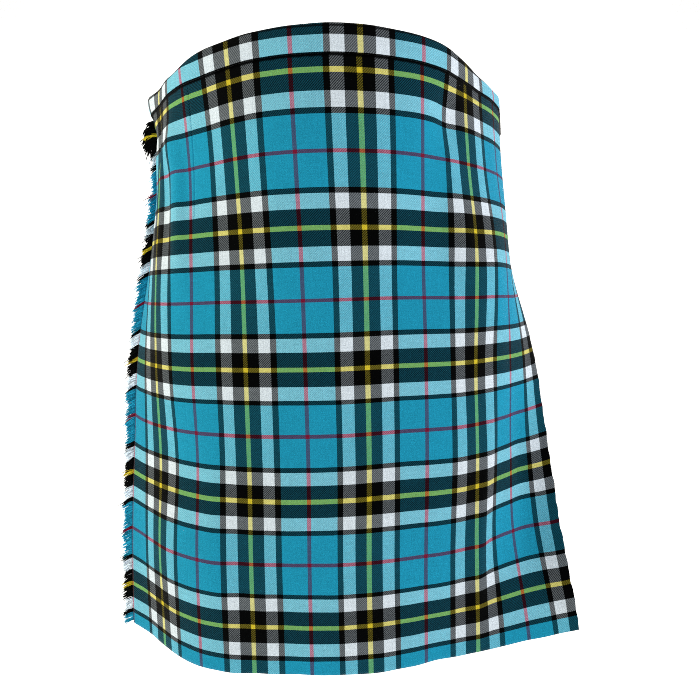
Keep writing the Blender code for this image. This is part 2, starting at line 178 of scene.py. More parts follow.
def beside(x, y, heading, along, places, inward):
    """Points at those places along a line, moved inward from it; beyond its ends it runs straight."""
    inside = np.clip(places, along[0], along[-1])
    beyond = places - inside
    turn = np.interp(inside, along, heading)
    return (np.interp(inside, along, x) + beyond * np.cos(turn) - inward * np.sin(turn),
            np.interp(inside, along, y) + beyond * np.sin(turn) + inward * np.cos(turn))


def on_apron(across, inward, drop):
    """Points of the apron's cloth at one drop, moved inward from it."""
    across = np.asarray(across, float)
    x, y, heading = apron_line(drop)
    standing = fold_relief(APRON_FOLDS, across / WARP_SETT, drop)
    px, py = beside(x, y, heading, FINE_ACROSS, across, inward - standing)
    row = min(drop / FINE_DROPS[1], len(FINE_DROPS) - 1.001)  # just short of the last
    share = row % 1
    heights = HEIGHTS[int(row)] * (1 - share) + HEIGHTS[int(row) + 1] * share
    return np.stack([px, py, np.interp(across, FINE_ACROSS, heights)], -1)


# The waist sits lower at the sides and back than at the front, and less of the band shows there.
SAG = 0.006  # of the cloth at the top edge, fading out with the drop
SAG_REACH = 0.170
BAND_CUT = 0.0035
SAG_FRONT, SAG_SIDE = -0.125, -0.060  # where it begins and is full, behind the waist's centre

# Along the front, where the waist dips or rises by itself: how wide, and how far the cloth and the
# band's upper edge come down there.
Dip = namedtuple("Dip", "x reach cloth band")
DIPS = (
    Dip(-0.115, 0.036, 0.0040, 0.0000),
    Dip(-0.146, 0.016, 0.0000, 0.0042),
    Dip(0.010, 0.075, 0.0000, -0.0026),
    Dip(0.172, 0.022, 0.0000, 0.0040),
)
DIP_REACH = 0.14  # the drop where a dip ends
DIP_FADE = 0.03  # a dip fades out over this much depth before the waist's centre


def sagging(points):
    """The points with the waist's sag, and how much of the band's cloth is folded out of sight."""
    x, y, drop = points[..., 0], points[..., 1], TOP - points[..., 2]
    side = np.clip((y - SAG_FRONT) / (SAG_SIDE - SAG_FRONT), 0, 1)
    side = side * side * (3 - 2 * side)
    fade = np.maximum(1 - drop / SAG_REACH, 0) ** 2
    in_band = np.maximum(1 - drop / BAND_HEIGHT, 0)
    folded_away = side * BAND_CUT * in_band
    lower = side * SAG * fade
    for dip in DIPS:
        share = np.exp(-((x - dip.x) / dip.reach) ** 2) * np.clip(-y / DIP_FADE, 0, 1)
        folded_away = folded_away + share * dip.band * in_band
        lower = lower + share * dip.cloth * np.clip(1 - drop / DIP_REACH, 0, 1)
    sagged = points.copy()
    sagged[..., 2] -= lower + folded_away
    return sagged, folded_away


def placed(name, data):
    """A new object of that mesh, lamp or camera in the scene."""
    obj = bpy.data.objects.new(name, data)
    bpy.context.scene.collection.objects.link(obj)
    return obj


def cut_from(name, points, faces, places, finish):
    """A smooth object of those faces, with each point's place in the cut, in metres across and
    down it, as its UV map."""
    mesh = bpy.data.meshes.new(name)
    mesh.from_pydata(points.reshape(-1, 3).tolist(), [], faces.tolist())
    uv = mesh.uv_layers.new(name="Cut")
    uv.data.foreach_set("uv", places.reshape(-1, 2)[faces.ravel()].ravel())
    mesh.shade_smooth()
    mesh.materials.append(finish)
    return placed(name, mesh)


def shell(name, points, places, thickness, finish):
    """A wall of cloth through rows of points."""
    rows, columns = points.shape[:2]
    corner = np.arange(rows * columns).reshape(rows, columns)
    faces = np.stack([corner[:-1, :-1], corner[:-1, 1:], corner[1:, 1:], corner[1:, :-1]], -1)
    obj = cut_from(name, points, faces.reshape(-1, 4), places, finish)
    wall = obj.modifiers.new("Wall", "SOLIDIFY")
    wall.thickness = thickness
    wall.offset = 0
    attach(obj, "root")
    return obj


def hung_shell(name, points, places, thickness, finish):
    """The wall through those rows of points once they sag with the waist."""
    return shell(name, sagging(np.array(points))[0], np.array(places), thickness, finish)


def in_cut(across, down):
    """Places in the cut."""
    return np.stack(np.broadcast_arrays(across, down), -1)


def drops_down(rows):
    """The drops of a panel's rows: two behind the band, and the rest even from there to the hem."""
    return np.concatenate([[BAND_TOP, BAND_MIDDLE], np.linspace(BAND_HEIGHT, LENGTH, rows)])


# Half a repeat of the tartan, from its red line to its yellow line: each stripe's share in metres.
Stripe = namedtuple("Stripe", "colour warp weft")
RED, AZURE, BLACK = (0.190, 0.009, 0.034), (0.013, 0.288, 0.465), (0.0009, 0.0011, 0.0013)
WHITE, YELLOW = (0.675, 0.76, 0.845), (0.62, 0.49, 0.030)
HALF_SETT = (
    Stripe(RED, 0.0017, 0.0018),
    Stripe(AZURE, 0.0263, 0.02895),
    Stripe(BLACK, 0.0057, 0.0051),
    Stripe(WHITE, 0.0123, 0.0134),
    Stripe(BLACK, 0.0114, 0.0144),
    Stripe(YELLOW, 0.0024, 0.0024),
)
YARN = 0.00056  # spacing of the threads


def group(name, inputs, outputs):
    """A new node group with named float, vector or colour sockets."""
    tree = bpy.data.node_groups.new(name, "ShaderNodeTree")
    for label, kind, value in inputs:
        socket = tree.interface.new_socket(label, in_out="INPUT", socket_type=kind)
        socket.default_value = value
    for label, kind in outputs:
        tree.interface.new_socket(label, in_out="OUTPUT", socket_type=kind)
    return tree, tree.nodes.new("NodeGroupInput").outputs, tree.nodes.new("NodeGroupOutput").inputs


def node(tree, kind, *sources, **settings):
    """A new node with its settings, its inputs linked or set in order; None leaves one alone."""
    made = tree.nodes.new(kind)
    for key, value in settings.items():
        setattr(made, key, value)
    for socket, source in zip(made.inputs, sources):
        if isinstance(source, bpy.types.NodeSocket):
            tree.links.new(source, socket)
        elif source is not None:
            socket.default_value = source
    return made


def maths(tree, operation, *sources):
    return node(tree, "ShaderNodeMath", *sources, operation=operation).outputs[0]


def mixed(tree, factor, a, b):
    """Colour a where the factor is 0 and b where it is 1."""
    other_kinds = [None] * 5  # sockets for mixing numbers and vectors
    return node(tree, "ShaderNodeMix", factor, *other_kinds, a, b, data_type="RGBA").outputs[2]


def scaled(tree, colour, factor):
    made = node(tree, "ShaderNodeVectorMath", colour, operation="SCALE")
    tree.links.new(factor, made.inputs["Scale"])
    return made.outputs[0]


def noise(tree, place, scale, detail, dimensions="3D"):
    made = node(tree, "ShaderNodeTexNoise", place, noise_dimensions=dimensions)
    made.inputs["Scale"].default_value = scale
    made.inputs["Detail"].default_value = detail
    return made.outputs[0]


def stripes_group(name, way, sett, offset):
    """The colour of the thread at a place in metres, from the order of the stripes one way."""
    tree, given, result = group(name, [("Place", "NodeSocketFloat", 0.0)],
                                [("Colour", "NodeSocketColor")])
    thread = maths(tree, "ADD", maths(tree, "FLOOR", maths(tree, "DIVIDE", given["Place"], YARN)), 0.5)
    in_sett = maths(tree, "ADD", maths(tree, "MULTIPLY", thread, YARN / sett), offset)
    folded = maths(tree, "MULTIPLY", maths(tree, "PINGPONG", in_sett, 0.5), 2)
    ramp = node(tree, "ShaderNodeValToRGB", folded)
    ramp.color_ramp.interpolation = "CONSTANT"
    stops = ramp.color_ramp.elements
    stops.remove(stops[-1])
    whole = sum(getattr(stripe, way) for stripe in HALF_SETT)
    start = 0.0
    for stripe in HALF_SETT:
        stop = stops.new(start) if start else stops[0]
        stop.color = (*stripe.colour, 1)
        start += getattr(stripe, way) / whole
    tree.links.new(ramp.outputs[0], result["Colour"])
    return tree


warp_stripes = stripes_group("Warp stripes", "warp", WARP_SETT, 0.0)
weft_stripes = stripes_group("Weft stripes", "weft", WEFT_SETT, TOP_IN_SETT)
WARP_SHARE, WEFT_SHARE = 0.44, 0.56  # of each in the colour of a crossing
WEFT_IN_WARP = 0.2  # how much of the weft shows through the warp where that lies on top
SLUBS = 45  # to a metre of yarn


def twill_group():
    """Two-and-two twill of the warp's and the weft's stripes. Where two colours cross, each thread
    takes on much of the other, as fine worsted yarn does from a step away, and the weft, which is
    beaten in closer, shows a little more than the warp."""
    tree, given, result = group(
        "Tartan twill",
        [("Across", "NodeSocketFloat", 0.0), ("Down", "NodeSocketFloat", 0.0),
         ("Plain thread", "NodeSocketFloat", 0.22), ("Heather", "NodeSocketFloat", 0.55)],
        [("Colour", "NodeSocketColor"), ("Relief", "NodeSocketFloat")])
    across, down = given["Across"], given["Down"]
    warp = node(tree, "ShaderNodeGroup", across, node_tree=warp_stripes).outputs[0]
    weft = node(tree, "ShaderNodeGroup", down, node_tree=weft_stripes).outputs[0]

    warp_count = maths(tree, "DIVIDE", across, YARN)
    weft_count = maths(tree, "DIVIDE", down, YARN)
    warp_thread, weft_thread = maths(tree, "FLOOR", warp_count), maths(tree, "FLOOR", weft_count)
    step = maths(tree, "FLOORED_MODULO", maths(tree, "ADD", warp_thread, weft_thread), 4)
    warp_up = maths(tree, "LESS_THAN", step, 2)

    tones = []
    for thread, spun in ((warp_thread, down), (weft_thread, across)):
        place = node(tree, "ShaderNodeCombineXYZ", maths(tree, "MULTIPLY", spun, SLUBS), thread)
        slub = maths(tree, "SUBTRACT", noise(tree, place.outputs[0], 1, 1, "2D"), 0.5)
        tones.append(maths(tree, "ADD", maths(tree, "MULTIPLY", slub, given["Heather"]), 1))

    shares = (node(tree, "ShaderNodeVectorMath", colour, (share,) * 3, operation="POWER").outputs[0]
              for colour, share in ((warp, WARP_SHARE), (weft, WEFT_SHARE)))
    shared = node(tree, "ShaderNodeVectorMath", *shares, operation="MULTIPLY").outputs[0]
    seen_warp, seen_weft = (
        scaled(tree, mixed(tree, given["Plain thread"], shared, colour), tone)
        for colour, tone in ((mixed(tree, WEFT_IN_WARP, warp, weft), tones[0]), (weft, tones[1])))
    tree.links.new(mixed(tree, warp_up, seen_weft, seen_warp), result["Colour"])

    rounds = []
    for count in (warp_count, weft_count):
        part = maths(tree, "SUBTRACT", maths(tree, "FRACT", count), 0.5)
        rounds.append(maths(tree, "SUBTRACT", 1, maths(tree, "MULTIPLY", maths(tree, "POWER", part, 2), 4)))
    over_warp = maths(tree, "MULTIPLY", rounds[0], warp_up)
    over_weft = maths(tree, "MULTIPLY", rounds[1], maths(tree, "SUBTRACT", 1, warp_up))
    tree.links.new(maths(tree, "ADD", over_warp, over_weft), result["Relief"])
    return tree


tartan_twill = twill_group()


def new_material(name):
    """A material with its node tree and its shader."""
    material = bpy.data.materials.new(name)
    material.use_nodes = True
    return material, material.node_tree, material.node_tree.nodes["Principled BSDF"]


def fine_bump(tree, shader, height, distance, strength):
    bump = node(tree, "ShaderNodeBump")
    bump.inputs["Strength"].default_value = strength
    bump.inputs["Distance"].default_value = distance
    tree.links.new(height, bump.inputs["Height"])
    tree.links.new(bump.outputs[0], shader.inputs["Normal"])


Shade = namedtuple("Shade", "down reach depth")
PATCHES = 0.12  # how much the cloth's tone changes from patch to patch


def tartan_cloth(name, shades=()):
    """Worsted tartan: twill relief, a soft bloom of fibre at grazing angles, uneven pressing, and
    the shade along its sewn or folded edges, each at its place down the cloth."""
    material, tree, shader = new_material(name)
    cut = node(tree, "ShaderNodeUVMap", uv_map="Cut").outputs[0]
    place = node(tree, "ShaderNodeSeparateXYZ", cut).outputs
    twill = node(tree, "ShaderNodeGroup", place[0], place[1], node_tree=tartan_twill)
    patch = noise(tree, cut, 14, 3, "2D")
    tone = maths(tree, "MULTIPLY_ADD", maths(tree, "SUBTRACT", patch, 0.5), PATCHES, 1)
    for shade in shades:
        ragged = noise(tree, cut, 160, 2, "2D")
        away = maths(tree, "ABSOLUTE", maths(tree, "SUBTRACT", place[1], shade.down))
        reach = maths(tree, "MULTIPLY_ADD", ragged, shade.reach, shade.reach * 0.5)
        fall = maths(tree, "SUBTRACT", 1, maths(tree, "POWER", maths(tree, "DIVIDE", away, reach), 3))
        dark = maths(tree, "MULTIPLY", maths(tree, "MAXIMUM", fall, 0), shade.depth)
        tone = maths(tree, "MULTIPLY", tone, maths(tree, "SUBTRACT", 1, dark))
    tree.links.new(scaled(tree, twill.outputs["Colour"], tone), shader.inputs["Base Color"])
    tree.links.new(maths(tree, "MULTIPLY_ADD", patch, 0.10, 0.80), shader.inputs["Roughness"])
    shader.inputs["Specular IOR Level"].default_value = 0.01
    shader.inputs["Sheen Weight"].default_value = 0.10
    shader.inputs["Sheen Roughness"].default_value = 0.35
    fine_bump(tree, shader, twill.outputs["Relief"], 0.00012, 0.5)
    return material


apron_cloth = tartan_cloth("worsted_tartan_apron", shades=(Shade(BAND_HEIGHT + 0.0004, 0.0019, 0.95),))

# Two rows of stitching hold the fringed facing behind the apron: the upper one drawn in to a fine
# tuck below the band, the lower one slack and showing as small dimples. Each has its place across
# at its start and end down the cloth.
Stitching = namedtuple("Stitching", "start end across_start across_end depth stitch")
FACING_STITCHES = (
    Stitching(0.022, 0.158, 0.1290, 0.1236, 0.00085, 0.000),
    Stitching(0.290, 0.612, 0.1075, 0.1060, 0.00022, 0.007),
)
TUCK_WIDTH = 0.0008  # half of what a row of stitches draws in
BESIDE_STITCHES = ((0.1035, 0.1105), (0.1205, 0.1320))  # the stretches across that hold the rows
FINE_MESH = 0.0005  # of the cloth in them

STRETCH = 0.0023  # how much longer the cloth hangs at the hem
STRETCHED = 0.040  # height above the hem where that begins
STRETCH_FULL = 0.10  # and the place across where it is full

EDGE_WAVER = 0.012  # width of the cloth beside the pressed edge that wavers with it


def stitched_in(across, drop):
    """How far the facing's stitches draw the cloth in at a drop."""
    drawn = 0 * across
    for row in FACING_STITCHES:
        if row.start < drop < row.end:
            share = (drop - row.start) / (row.end - row.start)
            middle = row.across_start + (row.across_end - row.across_start) * share
            ends = min(1, share * 12, (1 - share) * 12)
            dimple = 1 if not row.stitch else 0.35 + 0.65 * math.sin(math.pi * drop / row.stitch) ** 2
            drawn = drawn + row.depth * ends * dimple * np.exp(-((across - middle) / TUCK_WIDTH) ** 2)
    return drawn


def below_hem(across, drop):
    """How much further the cloth hangs towards the hem, where it has stretched a little."""
    share = np.clip((drop - LENGTH + STRETCHED) / STRETCHED, 0, 1) ** 2
    uneven = 0.0006 * np.sin(across * 23 + 0.4) + 0.0003 * np.sin(across * 131)
    return share * np.clip(across / STRETCH_FULL, 0, 1) * (STRETCH + uneven)


def edge_waver(across, drop):
    """How far the cloth beside the pressed edge lies out of line."""
    share = np.clip((across - APRON_WIDTH + EDGE_WAVER) / EDGE_WAVER, 0, None)
    return share * (0.00035 * math.sin(drop * 210) + 0.00030 * math.sin(drop * 97 + 1)
                    + 0.00022 * math.sin(drop * 433))


def make_over_apron():
    across = np.linspace(0, APRON_WIDTH, 178)
    for near, far in BESIDE_STITCHES:
        across = across[(across < near) | (across > far)]
        across = np.sort(np.concatenate([across, np.arange(near, far, FINE_MESH)]))
    turn = np.linspace(0, math.pi, 7)[1:-1]
    back = across[across > APRON_WIDTH - TURNED_UNDER][::-1]
    path = np.concatenate([across, APRON_WIDTH + APRON_LAYER / 2 * np.sin(turn), back])
    inward = np.concatenate([0 * across, APRON_LAYER / 2 * (1 - np.cos(turn)), 0 * back + APRON_LAYER])
    unrolled = np.concatenate([across, APRON_WIDTH + APRON_LAYER / 2 * turn,
                               2 * APRON_WIDTH + TURN_ALLOWANCE - back])
    points, places = [], []
    for drop in drops_down(180):
        drawn = inward.copy()
        drawn[:len(across)] += stitched_in(across, drop)
        longer = below_hem(path, drop)
        course = on_apron(path + edge_waver(path, drop), drawn, drop)
        points.append(course - longer[:, None] * (0, 0, 1))
        places.append(in_cut(unrolled, drop + longer))
    return hung_shell("over_apron_cloth", points, places, CLOTH, apron_cloth)


over_apron = make_over_apron()
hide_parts("over_apron")

# -----------------------------------------------------------------------------
# The pleated back: knife pleats of the same cloth, pleated to the sett, so that the tartan runs
# on from face to face; each is pressed, tapered to the waist and hangs free below the hips.

PLEATS = 22
TUCKED = 0.030  # where the pleated cloth starts, behind the first pleat's edge
BODY_INSET = 0.0040  # the pleats' outer folds, in from the ring
LAST_FOLD = 0.010  # the last fold, in beneath the over apron's crease
FULLNESS = 0.62  # handle of the ring's curves round the back, as a share of their sides
LEFT_HANDLES = (0.50, 0.40)  # of its curve from the apron's line to the left, and
CREASE_HANDLE = 0.35  # from the right to the crease, as shares of their length
HEM_SHOWN = 0.040  # what shows of a pleat at the hem
PLEAT_CUT = WARP_SETT + HEM_SHOWN  # cloth in one pleat
PLEAT_CLOTH = 0.0006  # thickness of the shell, thinner than a flat panel's to leave the layers room
PLEAT_STACK = 3.9  # depth of a pleat's layers, in the frame's steps
HANGS_FROM, HANGS_OVER = 0.15, 0.45  # the drop where the pleats come free, and over how much more
SWAY = 0.0016  # sideways at the hem
LIFT = 0.0018  # of an outer fold
BOW = 0.35  # of a pleat's face, in layers

# Where the ring of cloth leaves the apron's line, its half widths on the wearer's left and right,
# how far behind the waist's centre it is widest, its back, the first pleat and the layers' step.
Ring = namedtuple("Ring", "drop leaves left right widest back first_pleat layer")
RINGS = np.array((
    Ring(0.000, 0.533, 0.198, 0.202, 0.036, 0.138, 0.515, 0.0016),
    Ring(0.100, 0.533, 0.203, 0.207, 0.036, 0.150, 0.515, 0.0018),
    Ring(0.200, 0.520, 0.212, 0.222, 0.038, 0.162, 0.505, 0.0022),
    Ring(0.300, 0.500, 0.224, 0.234, 0.040, 0.166, 0.490, 0.0025),
    Ring(0.400, 0.470, 0.234, 0.244, 0.042, 0.168, 0.480, 0.0027),
    Ring(0.500, 0.450, 0.241, 0.251, 0.045, 0.171, 0.475, 0.0029),
    Ring(0.610, 0.440, 0.247, 0.257, 0.050, 0.176, 0.470, 0.0030),
))
FIRST_PLEATS, LAYERS = RINGS[:, -2], RINGS[:, -1]


def quarter(start, start_run, end, end_run, first, last):
    """A cubic curve between two points with the directions and handle lengths given."""
    t = np.linspace(0, 1, 81)[1:, None]
    a, d = np.array(start), np.array(end)
    b, c = a + first * np.array(start_run), d - last * np.array(end_run)
    return (1 - t) ** 3 * a + 3 * t * (1 - t) ** 2 * b + 3 * t * t * (1 - t) * c + t ** 3 * d


@functools.lru_cache(maxsize=None)
def ring_line(drop):
    """Distance along, x, y and heading of the closed ring at a drop, from the apron's crease."""
    _, leaves, left_side, right_side, widest, back, *_ = through(drop, DROPS, RINGS.T)
    x, y, heading = apron_line(drop)
    kept = FINE_ACROSS <= leaves
    front, turn = np.stack([x, y], 1)[kept], heading[kept][-1]
    left, rear, right = (left_side, widest), (0, back), (-right_side, widest)
    depth = back - widest
    to_left = math.dist(front[-1], left)
    to_crease = math.dist(right, front[0]) * CREASE_HANDLE
    points = np.concatenate([
        front,
        quarter(front[-1], (math.cos(turn), math.sin(turn)), left, (0, 1),
                to_left * LEFT_HANDLES[0], to_left * LEFT_HANDLES[1]),
        quarter(left, (0, 1), rear, (-1, 0), FULLNESS * depth, FULLNESS * left_side),
        quarter(rear, (-1, 0), right, (0, -1), FULLNESS * right_side, FULLNESS * depth),
        quarter(right, (0, -1), front[0], (math.cos(heading[0]), math.sin(heading[0])),
                to_crease, to_crease),
    ])
    runs = np.diff(points, axis=0)
    along = np.concatenate([[0], np.cumsum(np.hypot(*runs.T))])
    turns = np.unwrap(np.arctan2(runs[:, 1], runs[:, 0]))
    return along, *points.T, np.interp(along, (along[1:] + along[:-1]) / 2, turns)


def on_ring(places, inward, drop):
    """Points on the ring at one drop, moved inward; places may run past either end of it."""
    along, x, y, heading = ring_line(drop)
    px, py = beside(x, y, heading, along, np.asarray(places, float) % along[-1], inward)
    return np.stack([px, py, np.full(len(px), TOP - drop)], -1)


def first_pleat(drop):
    return through(drop, DROPS, FIRST_PLEATS)


def shown_width(drop):
    """How much of each pleat shows."""
    return (ring_line(drop)[0][-1] + LAST_FOLD - first_pleat(drop)) / PLEATS


def pleat_path(drop):
    """The pleated cloth's course at a drop: places along the ring, layers inward, and across the
    cut, and the layers' thickness."""
    start, shown = first_pleat(drop), shown_width(drop)
    hidden = (PLEAT_CUT - shown) / 2
    step = through(drop, DROPS, LAYERS) * PLEAT_STACK / (2 + 2 * hidden / shown)
    hang = np.clip((drop - HANGS_FROM) / HANGS_OVER, 0, 1)
    face, under = np.linspace(0, 1, 7), np.linspace(0, 1, 5)
    again = under[:-1]
    round_fold = np.linspace(0, math.pi, 6)[1:-1]
    bow = BOW * hang * np.sin(math.pi * face)
    along, level, cut = [], [], []

    def lay(places, levels, unrolled):
        along.extend(places)
        level.extend(levels)
        cut.extend(unrolled)

    first_cut = (HEM_SHOWN - shown) / 2
    lay(np.linspace(start - TUCKED, start, 4)[:-1], np.zeros(3),
        first_cut + np.linspace(-TUCKED, 0, 4)[:-1])
    for pleat in range(1, PLEATS + 1):
        sway = hang * SWAY * math.sin(2.1 * pleat + 0.7)
        lift = hang * LIFT * (1 + math.sin(1.3 * pleat))
        fold = start + pleat * shown + sway
        begin = (pleat - 1) * PLEAT_CUT + first_cut
        lay(start + (pleat - 1) * shown + face * (shown + sway), -bow - lift / step * face ** 3 * 0.5,
            begin + face * shown)
        lay(fold + step * 0.5 * np.sin(round_fold), (1 - np.cos(round_fold)) / 2 - lift / step * 0.4,
            np.full(len(round_fold), begin + shown))
        lay(fold - under * hidden, 1 - lift / step * 0.3 * (1 - under), begin + shown + under * hidden)
        lay(fold - hidden - step * 0.5 * np.sin(round_fold[1:3]), 1.5 - 0.5 * np.cos(round_fold[1:3]),
            np.full(2, begin + shown + hidden))
        lay(fold - sway * again - (1 - again) * hidden, 2 + 0 * again, begin + shown + (1 + again) * hidden)
    lay([fold], [2], [begin + PLEAT_CUT])
    return np.array(along), np.array(level), np.array(cut), step


def make_pleated_back():
    points, places = [], []
    for drop in drops_down(86):
        along, level, cut, step = pleat_path(drop)
        start, shown = first_pleat(drop), shown_width(drop)
        # Each fold lies over the one before, so the layers lean back from every fold.
        count = np.maximum(cut / PLEAT_CUT, 0).astype(int)
        fold = start + (np.minimum(count, PLEATS - 1) + 1) * shown
        inward = BODY_INSET + step * (level + 2 * (fold - along) / shown)
        points.append(on_ring(along, inward, drop))
        places.append(in_cut(cut, drop))
    return hung_shell("pleated_back_cloth", points, places, PLEAT_CLOTH,
                      tartan_cloth("worsted_tartan_pleats"))


pleated_back = make_pleated_back()
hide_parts("pleated_back")

# -----------------------------------------------------------------------------
# The under apron: the breadth of the same cloth that starts behind the last pleat, wraps the front
# beneath the over apron, and is held by its strap, out through the band, at the wearer's left.

UNDER_START = LAST_FOLD + 0.0012  # along the ring, just clear of the last fold
UNDER_END = 0.500  # its free edge
UNDER_IN_CUT = 0.03  # place in the cut of the ring's start
UNDER_INSET = 0.0155  # at its free edge, and
UNDER_LEAN = 0.006  # how much more at the hem
UNDER_CROSSES = 0.20  # where it starts to pass from behind the pleats to inside them


def under_inset(along, drop):
    """It lies behind the last pleat at one side and inside the first at the other."""
    near = BODY_INSET + 2 * np.interp(drop, DROPS, LAYERS)
    far = UNDER_INSET + UNDER_LEAN * drop / LENGTH
    share = np.clip((along - UNDER_CROSSES) / (UNDER_END - UNDER_CROSSES), 0, 1)
    return near + (far - near) * share * share * (3 - 2 * share)


def make_under_apron():
    along = np.linspace(UNDER_START, UNDER_END, 130)
    points, places = [], []
    for drop in drops_down(90):
        points.append(on_ring(along, under_inset(along, drop), drop))
        places.append(in_cut(along + UNDER_IN_CUT, drop))
    return hung_shell("under_apron_cloth", points, places, CLOTH, tartan_cloth("worsted_tartan_under"))


under_apron = make_under_apron()
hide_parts("under_apron")

# -----------------------------------------------------------------------------
# The waistband: a strip of the tartan matched to what is below it, folded over the raw tops and
# sewn down inside and out with small slip stitches.

BAND_IN_SETT = 0.0435  # how much further down the tartan's repeat the band is cut
BAND_SHIFT = 0.0012  # and how far it is sewn on to the wearer's left of the apron's stripes
THIN_CLOTH = 0.0007  # thickness of the shell
CLEAR = CLOTH + 0.0005  # from the middle of a panel's cloth to the band's
PUFF = 0.00035  # of the band between its fold and its stitching
FOLD_RISE, FOLD_DROP = 0.0016, 0.0020  # the fold's own height, and where it starts
BAND_STITCHED = BAND_HEIGHT - 0.0010  # the drop of its lower edges
TUCK = (0.00012, 0.0002), (0.00045, 0.0004)  # its outer edge, inward and up from the seam
BAND_GAPS = 0.0045, 0.0010  # from its back stretch to the front one, at the wearer's left and right
WAIST = ring_line(0.0)[0][-1]  # length of the ring at the top edge


def band_section(outer, inner):
    """The band's course up the inside, over the fold and down the outside, as inward and drop."""
    down = np.linspace(0, 1, 9)
    turn = np.linspace(0, math.pi, 7)[1:-1]
    half, middle = (inner - outer) / 2, (inner + outer) / 2
    wall = BAND_STITCHED - FOLD_DROP
    rise = np.maximum(0, np.sin(math.pi * down)) ** 0.7 * PUFF
    inside = [(inner + r, BAND_STITCHED - d * wall) for d, r in zip(down, rise)]
    over = [(middle + half * math.cos(t), FOLD_DROP - FOLD_RISE * math.sin(t)) for t in turn]
    outside = [(outer - r, FOLD_DROP + d * wall) for d, r in zip(down, rise)]
    tuck = [(outer + in_from, BAND_HEIGHT - up) for in_from, up in TUCK]
    return inside + over + outside + tuck


def make_band(name, place, stations, sides, shift):
    """A stretch of the band along those stations. sides gives how far inward its outer and inner
    walls lie at a station, and shift how far past the station its place in the cut is."""
    outer_at, inner_at = sides
    points, places = [], []
    for station in stations:
        section = band_section(outer_at(station), inner_at(station))
        points.append([place(np.array([station]), inward, max(drop, 0.0))[0] for inward, drop in section])
        places.append([(station + shift, drop + BAND_IN_SETT) for _, drop in section])
    points, folded_away = sagging(np.array(points).transpose(1, 0, 2))
    places = np.array(places).transpose(1, 0, 2)
    places[..., 1] += folded_away
    shades = (Shade(BAND_IN_SETT + 0.0004, 0.0012, 0.85),
              Shade(BAND_IN_SETT + BAND_HEIGHT - 0.0002, 0.0010, 0.90))
    finish = tartan_cloth("worsted_tartan_" + name, shades=shades)
    band = shell(name, points, places, THIN_CLOTH, finish)
    return band


def over_inner(across):
    """The band's inner side comes in gradually as far as the layer turned under the apron."""
    return CLEAR + APRON_LAYER * min(across / (APRON_WIDTH - TURNED_UNDER), 1)


band_over = make_band("waistband_over_cloth", on_apron, np.linspace(0, APRON_WIDTH + CLEAR, 190),
                      (lambda across: -CLEAR, over_inner), -BAND_SHIFT)
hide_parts("waistband_over")

band_under = make_band(
    "waistband_under_cloth", on_ring, np.linspace(UNDER_START, UNDER_END + CLEAR, 120),
    (lambda along: under_inset(along, 0) - 1.2 * CLEAR, lambda along: under_inset(along, 0) + 1.2 * CLEAR),
    UNDER_IN_CUT)
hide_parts("waistband_under")

back_inner = BODY_INSET + 4 * LAYERS[0] + 2 * CLEAR
band_back = make_band(
    "waistband_back_cloth", on_ring, np.linspace(APRON_WIDTH + BAND_GAPS[0], WAIST - BAND_GAPS[1], 220),
    (lambda along: BODY_INSET - CLEAR, lambda along: back_inner), 0)
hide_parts("waistband_back")

# -----------------------------------------------------------------------------
# The fringe: the apron's warp pulled out along its edge, which leaves the weft threads standing
# in bunches, each the colour of the stripe it comes from.

THREADS = 3600
THREAD = 0.00040  # radius at the root
THREAD_LENGTH = 0.0150
THREAD_STEP = 0.05  # between one thread's places and the next one's
THREAD_SIDES, THREAD_POINTS = 4, 6
STRAYS, STRAY = 0.015, 0.35  # the share of threads that are longer, and how much longer
TUFT = 0.0058  # the drop from one bunch of threads to the next
HEADING_SPREAD, FALL_SPREAD, LENGTH_SPREAD = 5, 4, 0.08  # degrees and a share, thread by thread
DROOP, TOUSLED_DROOP = 16, 110  # degrees that a thread turns down on its way
TOUSLED_END, TOUSLED_FADE = 0.052, 0.075  # where the tousled top ends, and would have faded out
FRINGE_TOP = 0.019
FRINGE_END = LENGTH - 0.003
STRIP_EDGES = -0.0012, 0.0056  # across, of the narrow strip that the threads are rooted in
STRIP_TOP = FRINGE_TOP + 0.012
STRIP_BEHIND = 0.0017  # the apron's cloth


def fringe_yarn():
    """Loose worsted yarn in the weft's own colours, softly twisted, with painted shade in the twist's
    grooves.
    """
    material, tree, shader = new_material("worsted_fringe_yarn")
    place = node(tree, "ShaderNodeSeparateXYZ", node(tree, "ShaderNodeUVMap", uv_map="Cut").outputs[0])
    weft = node(tree, "ShaderNodeGroup", place.outputs[1], node_tree=weft_stripes)
    twist = maths(tree, "SINE", maths(tree, "MULTIPLY", place.outputs[0], 5200))
    thread = maths(tree, "FLOOR", maths(tree, "DIVIDE", place.outputs[0], THREAD_STEP))
    dyed = node(tree, "ShaderNodeTexWhiteNoise", None, thread, noise_dimensions="1D")
    # painted light and shade: the colour follows the twist's relief, lighter on its ridges and darker in
    # its grooves
    tone = maths(tree, "MULTIPLY_ADD", twist, 0.12, maths(tree, "ADD", dyed.outputs[0], 0.75))
    tree.links.new(scaled(tree, weft.outputs[0], tone), shader.inputs["Base Color"])
    shader.inputs["Roughness"].default_value = 0.9
    shader.inputs["Specular IOR Level"].default_value = 0.05
    shader.inputs["Sheen Weight"].default_value = 0.01
    fine_bump(tree, shader, twist, 0.0001, 0.5)
    return material


